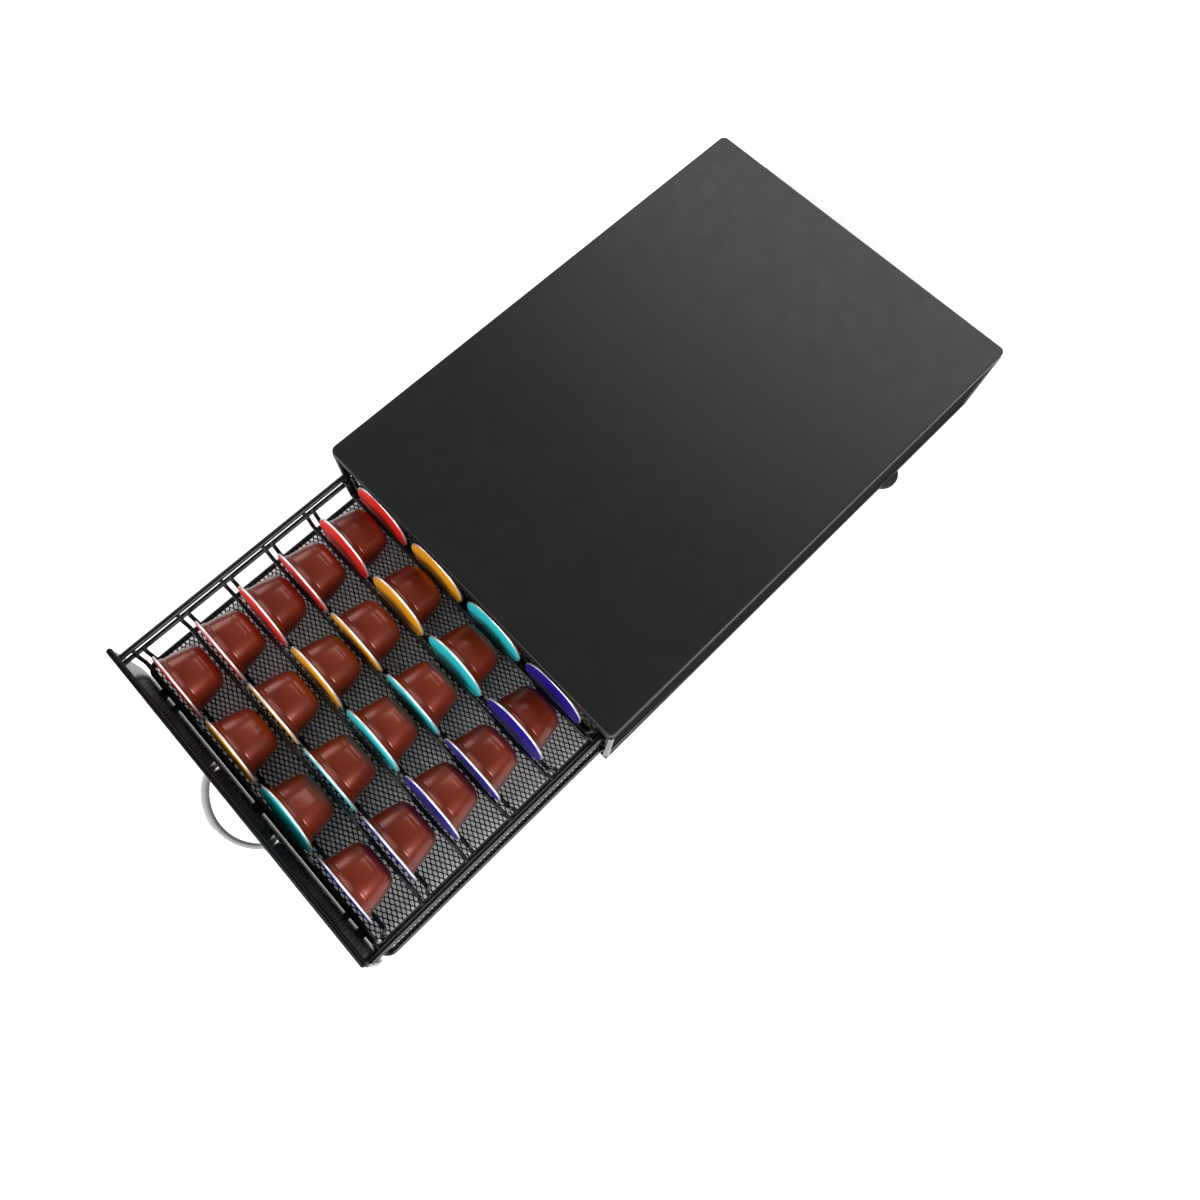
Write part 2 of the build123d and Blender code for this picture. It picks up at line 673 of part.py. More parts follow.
# One pod: a thin cup with a rolled flange, and its lid. The axis is Y, the lid faces -Y, and
# the origin is in the middle of the flange
flange_front = -flange_rim_radius
flange_back = flange_rim_radius
step_y = flange_front + cup_step_depth
shoulder_y = flange_front + cup_shoulder_depth
end_y = flange_front + cup_depth
with BuildPart() as cup:
    with BuildSketch(Plane.XY):
        with BuildLine():
            ThreePointArc(
                (rim_centre, flange_front), (flange_radius, 0), (rim_centre, flange_back)
            )
            outer_side = Polyline(
                (rim_centre, flange_back),
                (cup_mouth_radius, flange_back),
                (cup_step_radius, step_y),
                (cup_step_radius - cup_wall, step_y),
                (cup_shoulder_radius, shoulder_y),
            )
            outer_bend = TangentArc(
                outer_side @ 1, (cup_end_radius, end_y - cup_wall), tangent=outer_side % 1
            )
            Polyline(
                outer_bend @ 1,
                (cup_end_radius - cup_wall, end_y),
                (0, end_y),
                (0, end_y - cup_wall),
                (cup_end_radius - 2 * cup_wall, end_y - cup_wall),
                (cup_shoulder_radius - cup_wall, shoulder_y - cup_wall),
                (cup_step_radius - 2 * cup_wall, step_y - cup_wall),
                (cup_mouth_radius - cup_wall, flange_front),
                (rim_centre, flange_front),
            )
        make_face()
    revolve(axis=Axis.Y)

with BuildPart() as lid:
    with BuildSketch(Plane.XZ.offset(-flange_front)):
        Circle(lid_radius)
    extrude(amount=lid_thickness)

for column, colour in enumerate(pod_columns):
    pod_x = pod_sideways + (column - (len(pod_columns) - 1) / 2) * pod_column_pitch
    leans = (first_row_leans[column],) + later_row_leans
    pod_places = []
    for row, lean in enumerate(leans):
        tilt = math.radians(lean)
        forward = min(pod_max_centre, pod_toe + flange_radius * math.sin(tilt))
        pod_y = first_slot_y + row * row_pitch + forward
        pod_z = floor_top + pod_seat_gap + rim_centre * math.cos(tilt) + flange_rim_radius
        pod_places.append(Location((pod_x, pod_y, pod_z), (-lean, 0, 0)))
    with BuildPart() as cups:
        with Locations(*pod_places):
            add(cup.part)
    cups.part.label = "pod_cups_" + colour
    export_step(cups.part, "parts/pod_cups_" + colour + ".step")
    with BuildPart() as lids:
        with Locations(*pod_places):
            add(lid.part)
    lids.part.label = "pod_lids_" + colour
    export_step(lids.part, "parts/pod_lids_" + colour + ".step")

closed_travel = -drawer_pull
stop_front = lug_back - stop_lug_length
stop_back = side_front + stop_tab_length
open_travel = stop_front - stop_back - drawer_slide_gap
print("drawer travel from here, mm:", round(closed_travel, 2), "to", round(open_travel, 2))
print("outline along Y, mm:", round(panel_outer - handle_reach, 2), "to", round(cabinet_back, 2))
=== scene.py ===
"""Looks of a drawer for coffee pods: a wire and mesh cabinet with one open drawer of pods.

Metres, +Z up, the drawer opens towards -Y. Every shape is worked out with numpy as a surface over
two parameters or as a profile carried along a path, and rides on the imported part's bodies.
"""

import json
import logging
import math
from dataclasses import dataclass, field
from enum import Enum
from typing import Sequence

import bpy
import numpy as np
from mathutils import Euler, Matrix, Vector


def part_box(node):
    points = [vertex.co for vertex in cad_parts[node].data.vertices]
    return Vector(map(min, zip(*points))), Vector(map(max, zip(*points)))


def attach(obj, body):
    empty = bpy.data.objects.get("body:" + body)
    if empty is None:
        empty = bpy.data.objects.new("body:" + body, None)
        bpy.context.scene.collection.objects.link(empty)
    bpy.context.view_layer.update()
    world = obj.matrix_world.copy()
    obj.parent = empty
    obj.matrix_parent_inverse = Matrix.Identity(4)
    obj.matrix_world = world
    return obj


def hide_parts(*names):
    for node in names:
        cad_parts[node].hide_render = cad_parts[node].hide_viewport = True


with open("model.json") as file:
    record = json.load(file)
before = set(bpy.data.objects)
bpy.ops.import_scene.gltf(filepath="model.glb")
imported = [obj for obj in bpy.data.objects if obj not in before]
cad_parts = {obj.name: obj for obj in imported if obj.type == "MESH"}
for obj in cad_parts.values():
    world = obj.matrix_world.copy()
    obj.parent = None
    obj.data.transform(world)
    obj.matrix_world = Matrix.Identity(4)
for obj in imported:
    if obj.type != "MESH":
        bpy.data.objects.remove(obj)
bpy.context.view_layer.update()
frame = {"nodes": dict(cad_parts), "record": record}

MM = 0.001
LOG = logging.getLogger("pod_drawer")
Colour = tuple[float, float, float]
Mesh = tuple[np.ndarray, list[np.ndarray]]


class Slot(Enum):
    """The finishes of the part, by the names of its material slots."""

    SHEET = "satin_black_sheet"
    PANEL = "gloss_black_panel"
    WIRE = "black_wire"
    MESH = "black_mesh"
    CHROME = "chrome"
    RUBBER = "black_rubber"
    SCREW = "plated_screw"
    CUP = "brown_cup"
    RED = "red_lid"
    ORANGE = "orange_lid"
    TEAL = "teal_lid"
    BLUE = "blue_lid"


class Body(Enum):
    """The two bodies of the part."""

    CABINET = "cabinet"
    DRAWER = "drawer"


# ---------------------------------------------------------------- shader nodes


class Tree:
    """A node tree with short calls to add and join nodes."""

    def __init__(self, tree: bpy.types.NodeTree) -> None:
        """Keeps the tree that the calls work on."""
        self.tree = tree

    def add(self, kind: str, settings: dict | None = None, **sockets: object) -> bpy.types.Node:
        """Adds one node.

        Args:
            kind: The node's type name.
            settings: Properties to set on the node.
            sockets: Values or output sockets for the inputs, by name with _ for a space.

        Returns:
            The new node.
        """
        node = self.tree.nodes.new(kind)
        for key, value in (settings or {}).items():
            setattr(node, key, value)
        for key, value in sockets.items():
            socket = node.inputs[key.replace("_", " ")]
            if isinstance(value, bpy.types.NodeSocket):
                self.tree.links.new(value, socket)
            else:
                socket.default_value = value
        return node

    def maths(self, operation: str, first: object, second: object = 0.0) -> bpy.types.NodeSocket:
        """Adds a Math node and returns its output."""
        node = self.tree.nodes.new("ShaderNodeMath")
        node.operation = operation
        for socket, value in zip(node.inputs, (first, second)):
            if isinstance(value, bpy.types.NodeSocket):
                self.tree.links.new(value, socket)
            else:
                socket.default_value = value
        return node.outputs[0]

    def span(self, value: bpy.types.NodeSocket, low: object, high: object,
             start: float = 0.0, end: float = 1.0) -> bpy.types.NodeSocket:
        """Maps a value from start..end to low..high, clamped, and returns the output."""
        node = self.add("ShaderNodeMapRange", {"clamp": True}, Value=value, From_Min=start,
                        From_Max=end, To_Min=low, To_Max=high)
        return node.outputs["Result"]

    def blend(self, share: object, first: object, second: object) -> bpy.types.NodeSocket:
        """Mixes two colours by a share and returns the output."""
        node = self.tree.nodes.new("ShaderNodeMix")
        node.data_type = "RGBA"
        for index, value in ((0, share), (6, first), (7, second)):
            if isinstance(value, bpy.types.NodeSocket):
                self.tree.links.new(value, node.inputs[index])
            else:
                node.inputs[index].default_value = value
        return node.outputs[2]


def rgba(colour: Colour) -> tuple[float, float, float, float]:
    """Adds a full alpha to a colour."""
    return (*colour, 1.0)


class Effects:
    """The shader node groups that several finishes share, each built once."""

    made: dict[str, bpy.types.NodeTree] = {}

    @classmethod
    def group(cls, name: str, inputs: Sequence[tuple[str, str, object]],
              outputs: Sequence[tuple[str, str]]) -> tuple[bpy.types.NodeTree, Tree, dict, dict]:
        """Starts a node group with its sockets.

        Args:
            name: The group's name.
            inputs: Name, socket type and default of each input.
            outputs: Name and socket type of each output.

        Returns:
            The group, its tree, its input sockets by name and its output sockets by name.
        """
        made = bpy.data.node_groups.new(name, "ShaderNodeTree")
        for label, kind, value in inputs:
            socket = made.interface.new_socket(label, in_out="INPUT", socket_type=kind)
            socket.default_value = value
        for label, kind in outputs:
            made.interface.new_socket(label, in_out="OUTPUT", socket_type=kind)
        tree = Tree(made)
        entry, leave = tree.add("NodeGroupInput"), tree.add("NodeGroupOutput")
        cls.made[name] = made
        return made, tree, dict(entry.outputs.items()), dict(leave.inputs.items())

    @classmethod
    def peel(cls) -> bpy.types.NodeTree:
        """Powder coat: fine bumps with a slower wave in them, and a roughness that follows them.

        Returns:
            A group with inputs Scale, Low and High, and outputs Height and Roughness.
        """
        if "peel" in cls.made:
            return cls.made["peel"]
        number = "NodeSocketFloat"
        made, tree, given, out = cls.group(
            "peel", [("Scale", number, 900.0), ("Low", number, 0.3), ("High", number, 0.4)],
            [("Height", number), ("Roughness", number)])
        place = tree.add("ShaderNodeTexCoord").outputs["Object"]
        fine = tree.add("ShaderNodeTexNoise", Vector=place, Scale=given["Scale"], Detail=2.0)
        slow = tree.add("ShaderNodeTexNoise", Vector=place, Detail=4.0,
                        Scale=tree.maths("MULTIPLY", given["Scale"], 0.07))
        height = tree.maths("ADD", tree.maths("MULTIPLY", fine.outputs["Fac"], 0.7),
                            tree.maths("MULTIPLY", slow.outputs["Fac"], 0.3))
        rough = tree.span(slow.outputs["Fac"], given["Low"], given["High"], 0.3, 0.7)
        tree.tree.links.new(height, out["Height"])
        tree.tree.links.new(rough, out["Roughness"])
        return made

    @classmethod
    def cloud(cls) -> bpy.types.NodeTree:
        """A colour that drifts slowly between two over the surface.

        Returns:
            A group with inputs First, Second and Scale, and the output Color.
        """
        if "cloud" in cls.made:
            return cls.made["cloud"]
        paint, number = "NodeSocketColor", "NodeSocketFloat"
        made, tree, given, out = cls.group(
            "cloud", [("First", paint, (0.1, 0.1, 0.1, 1)), ("Second", paint, (0.2, 0.2, 0.2, 1)),
                      ("Scale", number, 40.0)], [("Color", paint)])
        place = tree.add("ShaderNodeTexCoord").outputs["Object"]
        drift = tree.add("ShaderNodeTexNoise", Vector=place, Scale=given["Scale"], Detail=5.0)
        share = tree.span(drift.outputs["Fac"], 0.0, 1.0, 0.3, 0.7)
        tree.tree.links.new(tree.blend(share, given["First"], given["Second"]), out["Color"])
        return made

    @classmethod
    def scuff(cls) -> bpy.types.NodeTree:
        """Sparse specks of dust and short rubs.

        Returns:
            A group with inputs Scale and Amount, and the output Mask.
        """
        if "scuff" in cls.made:
            return cls.made["scuff"]
        number = "NodeSocketFloat"
        made, tree, given, out = cls.group(
            "scuff", [("Scale", number, 300.0), ("Amount", number, 0.5)], [("Mask", number)])
        place = tree.add("ShaderNodeTexCoord").outputs["Object"]
        long = tree.add("ShaderNodeMapping", Vector=place)
        long.inputs["Rotation"].default_value = (0.2, 0.1, 0.6)
        long.inputs["Scale"].default_value = (1.0, 0.12, 1.0)
        rubs = tree.add("ShaderNodeTexNoise", Vector=long.outputs[0], Scale=given["Scale"],
                        Detail=6.0)
        specks = tree.add("ShaderNodeTexVoronoi", Vector=place, Scale=given["Scale"])
        thin = tree.span(rubs.outputs["Fac"], 0.0, 1.0, 0.62, 0.72)
        dots = tree.span(specks.outputs["Distance"], 1.0, 0.0, 0.02, 0.10)
        both = tree.maths("MAXIMUM", thin, dots)
        tree.tree.links.new(tree.maths("MULTIPLY", both, given["Amount"]), out["Mask"])
        return made


@dataclass(frozen=True)
class Coat:
    """A painted, lacquered or moulded finish: a drifting colour under a fine grain."""

    slot: str
    dark: Colour
    light: Colour
    rough: tuple[float, float] = (0.3, 0.4)
    grain: float = 900.0
    relief: float = 0.00004
    bump: float = 0.3
    metal: float = 0.0
    specular: float = 0.5
    coat: float = 0.0
    coat_rough: float = 0.1
    drift: float = 40.0
    dust: Colour = (0.2, 0.2, 0.2)
    dust_scale: float = 300.0
    dust_amount: float = 0.25
    spun: float = 0.0

    def material(self) -> bpy.types.Material:
        """Builds the finish as a material.

        Returns:
            The new material.
        """
        paint = bpy.data.materials.new(self.slot)
        paint.use_nodes = True
        paint.node_tree.nodes.clear()
        tree = Tree(paint.node_tree)
        shader = tree.add("ShaderNodeBsdfPrincipled", Metallic=self.metal,
                          Specular_IOR_Level=self.specular, Coat_Weight=self.coat,
                          Coat_Roughness=self.coat_rough)
        colour = tree.add("ShaderNodeGroup", {"node_tree": Effects.cloud()},
                          First=rgba(self.dark), Second=rgba(self.light), Scale=self.drift)
        peel = tree.add("ShaderNodeGroup", {"node_tree": Effects.peel()}, Scale=self.grain,
                        Low=self.rough[0], High=self.rough[1])
        scuff = tree.add("ShaderNodeGroup", {"node_tree": Effects.scuff()},
                         Scale=self.dust_scale, Amount=self.dust_amount)
        mask = scuff.outputs["Mask"]
        base = tree.blend(mask, colour.outputs["Color"], rgba(self.dust))
        rough = tree.maths("ADD", peel.outputs["Roughness"], tree.maths("MULTIPLY", mask, 0.2))
        height = peel.outputs["Height"]
        if self.spun:
            height = tree.maths("ADD", height, self.lathe_lines(tree))
        bump = tree.add("ShaderNodeBump", Height=height, Strength=self.bump,
                        Distance=self.relief)
        links = paint.node_tree.links
        links.new(base, shader.inputs["Base Color"])
        links.new(rough, shader.inputs["Roughness"])
        links.new(bump.outputs["Normal"], shader.inputs["Normal"])
        ending = tree.add("ShaderNodeOutputMaterial")
        links.new(shader.outputs["BSDF"], ending.inputs["Surface"])
        return paint

    def lathe_lines(self, tree: Tree) -> bpy.types.NodeSocket:
        """Adds fine rings that follow the piece's own map, along its profile.

        Args:
            tree: The material's tree.

        Returns:
            The height of the rings.
        """
        split = tree.add("ShaderNodeSeparateXYZ", Vector=tree.add("ShaderNodeUVMap").outputs[0])
        line = tree.add("ShaderNodeCombineXYZ", X=tree.maths("MULTIPLY", split.outputs[0], 3.0),
                        Y=tree.maths("MULTIPLY", split.outputs[1], 300.0))
        rings = tree.add("ShaderNodeTexNoise", Vector=line.outputs[0], Scale=1.0, Detail=3.0)
        return tree.maths("MULTIPLY", rings.outputs["Fac"], self.spun)


def lid_coat(slot: Slot, dark: Colour, light: Colour, dust: Colour, specular: float = 0.30,
             coat: float = 0.10) -> Coat:
    """Makes the finish of a lacquered foil lid.

    Args:
        slot: The material slot.
        dark: The darker colour.
        light: The lighter colour.
        dust: The colour of its specks.
        specular: Strength of the foil's shine.
        coat: Share of clear lacquer.

    Returns:
        The finish.
    """
    return Coat(slot.value, dark, light, (0.34, 0.42), 1500.0, 0.00003, 0.3, metal=0.10,
                specular=specular, coat=coat, coat_rough=0.2, dust=dust, dust_scale=600.0,
                dust_amount=0.06)


FINISHES: dict[Slot, Coat] = {
    Slot.SHEET: Coat(Slot.SHEET.value, (0.0030, 0.0034, 0.0032), (0.0040, 0.0044, 0.0042),
                     (0.38, 0.43), 1600.0, 0.00002, 0.25, specular=0.36, drift=9.0,
                     dust=(0.04, 0.04, 0.04), dust_scale=140.0, dust_amount=0.015),
    Slot.PANEL: Coat(Slot.PANEL.value, (0.0022, 0.0022, 0.0026), (0.0036, 0.0036, 0.0041),
                     (0.16, 0.20), 700.0, 0.00001, 0.03, specular=0.10, drift=25.0,
                     dust=(0.03, 0.03, 0.03), dust_scale=160.0, dust_amount=0.01),
    Slot.WIRE: Coat(Slot.WIRE.value, (0.0026, 0.0026, 0.0028), (0.0045, 0.0045, 0.0047),
                    (0.13, 0.19), 1600.0, 0.00002, 0.20, specular=0.34, drift=60.0,
                    dust=(0.05, 0.05, 0.05), dust_scale=500.0, dust_amount=0.06),
    Slot.MESH: Coat(Slot.MESH.value, (0.0016, 0.0016, 0.0017), (0.0030, 0.0030, 0.0032),
                    (0.34, 0.44), 2200.0, 0.00002, 0.20, specular=0.18, drift=90.0,
                    dust=(0.04, 0.04, 0.04), dust_scale=700.0, dust_amount=0.05),
    Slot.CHROME: Coat(Slot.CHROME.value, (0.92, 0.92, 0.93), (0.97, 0.97, 0.97), (0.06, 0.10),
                      500.0, 0.00001, 0.08, metal=0.66, drift=60.0,
                      dust=(0.35, 0.35, 0.36), dust_scale=900.0, dust_amount=0.10),
    Slot.RUBBER: Coat(Slot.RUBBER.value, (0.012, 0.012, 0.012), (0.022, 0.022, 0.022),
                      (0.65, 0.80), 1800.0, 0.00006, 0.5, specular=0.35,
                      dust=(0.12, 0.12, 0.11), dust_scale=700.0, dust_amount=0.3),
    Slot.SCREW: Coat(Slot.SCREW.value, (0.24, 0.24, 0.26), (0.38, 0.38, 0.40), (0.26, 0.36),
                     2600.0, 0.00002, 0.4, metal=1.0, drift=400.0,
                     dust=(0.10, 0.10, 0.10), dust_scale=2600.0, dust_amount=0.4),
    Slot.CUP: Coat(Slot.CUP.value, (0.104, 0.0130, 0.0044), (0.158, 0.0215, 0.0065),
                   (0.32, 0.38), 700.0, 0.00001, 0.10, metal=0.38, specular=0.12, coat=0.34,
                   coat_rough=0.17, drift=30.0, dust=(0.20, 0.05, 0.025), dust_scale=420.0,
                   dust_amount=0.05, spun=0.12),
    Slot.RED: lid_coat(Slot.RED, (0.72, 0.014, 0.009), (0.80, 0.022, 0.013), (0.80, 0.16, 0.11),
                       specular=0.18, coat=0.06),
    Slot.ORANGE: lid_coat(Slot.ORANGE, (0.82, 0.31, 0.009), (0.90, 0.39, 0.014),
                          (0.90, 0.52, 0.18)),
    Slot.TEAL: lid_coat(Slot.TEAL, (0.022, 0.54, 0.61), (0.034, 0.64, 0.70), (0.20, 0.70, 0.74)),
    Slot.BLUE: lid_coat(Slot.BLUE, (0.016, 0.003, 0.24), (0.024, 0.005, 0.31),
                        (0.10, 0.06, 0.44)),
}
BARE_RIM = Coat("bare_rim", (0.74, 0.74, 0.75), (0.86, 0.86, 0.86), (0.28, 0.38), 1800.0,
                0.00002, 0.3, metal=0.7, dust=(0.50, 0.45, 0.43), dust_scale=900.0,
                dust_amount=0.15)


# ---------------------------------------------------------------- surfaces


def grid_quads(rows: int, columns: int, closed: bool) -> np.ndarray:
    """Joins a grid of points into quads: cell (i, j) takes the points (i, j), (i, j+1),
    (i+1, j+1) and (i+1, j).

    Args:
        rows: Points along the first parameter.
        columns: Points along the second parameter.
        closed: True if the last column joins the first one.

    Returns:
        An array of four point numbers a face.
    """
    i, j = np.meshgrid(np.arange(rows - 1), np.arange(columns if closed else columns - 1),
                       indexing="ij")
    k = (j + 1) % columns
    quads = np.stack([i * columns + j, i * columns + k, (i + 1) * columns + k,
                      (i + 1) * columns + j], -1)
    return quads.reshape(-1, 4)


def turned(profile: np.ndarray, steps: int) -> tuple[Mesh, np.ndarray]:
    """Turns a profile about the Y axis: point (r, y) goes to (r sin a, y, r cos a) for each
    angle a.

    Args:
        profile: Radius and height of each point, first and last on the axis.
        steps: Points round the axis.

    Returns:
        The mesh, and the share of the profile's length at each point.
    """
    angle = np.arange(steps) * (2 * np.pi / steps)
    inner = profile[1:-1]
    ring = np.stack([inner[:, :1] * np.sin(angle), np.repeat(inner[:, 1:], steps, 1),
                     inner[:, :1] * np.cos(angle)], -1).reshape(-1, 3)
    ends = np.array([[0.0, profile[0, 1], 0.0], [0.0, profile[-1, 1], 0.0]])
    points = np.concatenate([ring, ends])
    around, after = np.arange(steps), (np.arange(steps) + 1) % steps
    last = (len(inner) - 1) * steps
    first_cap = np.stack([np.full(steps, len(ring)), after, around], -1)
    last_cap = np.stack([np.full(steps, len(ring) + 1), last + around, last + after], -1)
    length = np.concatenate([[0.0], np.cumsum(np.hypot(*np.diff(profile, axis=0).T))])
    share = length / length[-1]
    along = np.concatenate([np.repeat(share[1:-1], steps), [0.0, 1.0]])
    return (points, [grid_quads(len(inner), steps, True), first_cap, last_cap]), along


def strip(path: np.ndarray, section: np.ndarray, side: np.ndarray, up: np.ndarray) -> Mesh:
    """Carries a section along an open path: point (a, b) of it goes to path + a side + b up.

    Args:
        path: Points of the path.
        section: Corners of the section, anticlockwise seen from the path's end.
        side: Direction of the section's first measure, one for the path or one a point.
        up: Direction of its second measure.

    Returns:
        The mesh, with a flat face at each end.
    """
    side = np.broadcast_to(side, path.shape)
    up = np.broadcast_to(up, path.shape)
    points = (path[:, None] + section[None, :, :1] * side[:, None]
              + section[None, :, 1:] * up[:, None]).reshape(-1, 3)
    count = len(section)
    quads = grid_quads(len(path), count, True)
    caps = np.stack([np.arange(count)[::-1], (len(path) - 1) * count + np.arange(count)])
    return points, [quads, caps]


def joined(parts: Sequence[Mesh]) -> Mesh:
    """Puts several meshes into one, with the point numbers shifted.

    Args:
        parts: The meshes.

    Returns:
        One mesh with all their points and faces.
    """
    points = np.concatenate([part[0] for part in parts])
    shift, by_size = 0, {}
    for part_points, faces in parts:
        for block in faces:
            by_size.setdefault(block.shape[1], []).append(block + shift)
        shift += len(part_points)
    return points, [np.concatenate(blocks) for blocks in by_size.values()]


def put_mesh(name: str, mesh: Mesh, smooth: bool = True, along: np.ndarray | None = None,
             ids: Sequence[np.ndarray] | None = None) -> bpy.types.Object:
    """Makes an object from a mesh, at the origin, unturned and unscaled.

    Args:
        name: The object's name.
        mesh: Points and blocks of faces.
        smooth: True for smooth shading.
        along: A share along the profile for each point, kept as the map's second value.
        ids: A material number for each face, block by block.

    Returns:
        The new object.
    """
    points, blocks = mesh
    data = bpy.data.meshes.new(name)
    data.vertices.add(len(points))
    data.vertices.foreach_set("co", points.astype(np.float32).ravel())
    corners = np.concatenate([block.ravel() for block in blocks])
    sizes = np.concatenate([np.full(len(block), block.shape[1]) for block in blocks])
    data.loops.add(len(corners))
    data.loops.foreach_set("vertex_index", corners.astype(np.int32))
    data.polygons.add(len(sizes))
    starts = np.concatenate([[0], np.cumsum(sizes)[:-1]])
    data.polygons.foreach_set("loop_start", starts.astype(np.int32))
    data.update(calc_edges=True)
    data.polygons.foreach_set("use_smooth", np.full(len(sizes), smooth))
    if along is not None:
        angle = np.arctan2(points[:, 0], points[:, 2])
        layer = data.uv_layers.new(name="profile")
        pairs = np.stack([np.sin(angle), along], -1)[corners]
        layer.data.foreach_set("uv", pairs.astype(np.float32).ravel())
    if ids is not None:
        data.polygons.foreach_set("material_index", np.concatenate(ids).astype(np.int32))
    piece = bpy.data.objects.new(name, data)
    bpy.context.scene.collection.objects.link(piece)
    return piece


def arc(centre: tuple[float, float], radius: float, start: float, end: float,
        count: int) -> np.ndarray:
    """Points on a circle: centre + radius (cos t, sin t) for t from start to end in degrees."""
    turn = np.radians(np.linspace(start, end, count))
    return np.stack([centre[0] + radius * np.cos(turn), centre[1] + radius * np.sin(turn)], -1)


# ---------------------------------------------------------------- sub-assemblies


class Workshop:
    """Dresses pieces: finishes by slot, the body that each rides on, and the node it stands for."""

    def __init__(self) -> None:
        """Builds every finish once."""
        self.paints = {slot: finish.material() for slot, finish in FINISHES.items()}
        self.bare_rim = BARE_RIM.material()

    def dress(self, piece: bpy.types.Object, slot: Slot, body: Body, *nodes: str,
              extra: Sequence[bpy.types.Material] = ()) -> bpy.types.Object:
        """Gives a new piece its finish, its body and the nodes that it stands for.

        Args:
            piece: The new piece.
            slot: The finish.
            body: The body that it rides on.
            nodes: The nodes that it stands for.
            extra: More materials for its faces, after the first.

        Returns:
            The same piece.
        """
        for paint in (self.paints[slot], *extra):
            piece.data.materials.append(paint)
        if nodes:
            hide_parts(*nodes)
        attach(piece, body.value)
        LOG.info("%s: %d faces", piece.name, len(piece.data.polygons))
        return piece

    def paint_nodes(self) -> None:
        """Gives each node of the part the finish of its material slot."""
        slots = {row["node"]: row["material_slot"] for row in frame["record"]["subparts"]}
        for node, piece in frame["nodes"].items():
            piece.data.materials.clear()
            piece.data.materials.append(self.paints[Slot(slots[node])])


@dataclass
class SheetTop:
    """The cabinet's top: one sheet bent down all round, with a hem along the rim's lower edge."""

    corner: float = 3.5 * MM
    thickness: float = 1.0 * MM
    bend: float = 0.9 * MM
    groove: float = 0.25 * MM
    hem: float = 0.70 * MM
    corner_steps: int = 10

    def profile(self, rim: float) -> np.ndarray:
        """The rim's section as points (inset, z): the top, the bend, the face set back by the
        groove, the round hem, the inner face and the underside.

        Args:
            rim: The rim's whole height.

        Returns:
            The points, with z measured down from the top.
        """
        reach = self.corner - 0.1 * MM
        bend = arc((self.groove + self.bend, -self.bend), self.bend, 90.0, 180.0, 8)
        lift = math.degrees(math.acos((self.hem - self.groove) / self.hem))
        hem = arc((self.hem, self.hem - rim), self.hem, 180.0 - lift, 270.0, 12)
        inside = [(self.thickness, self.hem - rim), (self.thickness, -self.thickness),
                  (reach, -self.thickness)]
        return np.concatenate([[(reach, 0.0)], bend, hem, inside])

    def build(self, shop: Workshop) -> None:
        """Carries the section round a rounded rectangle: point (d, z) of it goes to
        centre + (corner - d) n, where n turns from 0 to 90 degrees about each corner's centre.

        Args:
            shop: Dresses the piece.
        """
        low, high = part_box("top_panel")
        section = self.profile(high.z - low.z)
        quarter = np.radians(np.linspace(0.0, 90.0, self.corner_steps))
        angle = (np.arange(4)[:, None] * np.pi / 2 + quarter).ravel()
        way = np.stack([np.cos(angle), np.sin(angle)], -1)
        side = np.repeat(np.array([[1, 1], [-1, 1], [-1, -1], [1, -1]]), self.corner_steps, 0)
        middle = np.array([low.x + high.x, low.y + high.y]) / 2
        half = np.array([high.x - low.x, high.y - low.y]) / 2 - self.corner
        flat = middle + side * half + (self.corner - section[:, None, :1]) * way
        count = len(angle)
        level = np.broadcast_to(high.z + section[:, None, 1:], (len(section), count, 1))
        points = np.concatenate([flat, level], -1).reshape(-1, 3)
        around = np.arange(count)
        caps = np.stack([around, (len(section) - 1) * count + around[::-1]])
        quads = grid_quads(len(section), count, True)[:, ::-1]
        piece = put_mesh("folded_top", (points, [quads, caps]))
        shop.dress(piece, Slot.SHEET, Body.CABINET, "top_panel")


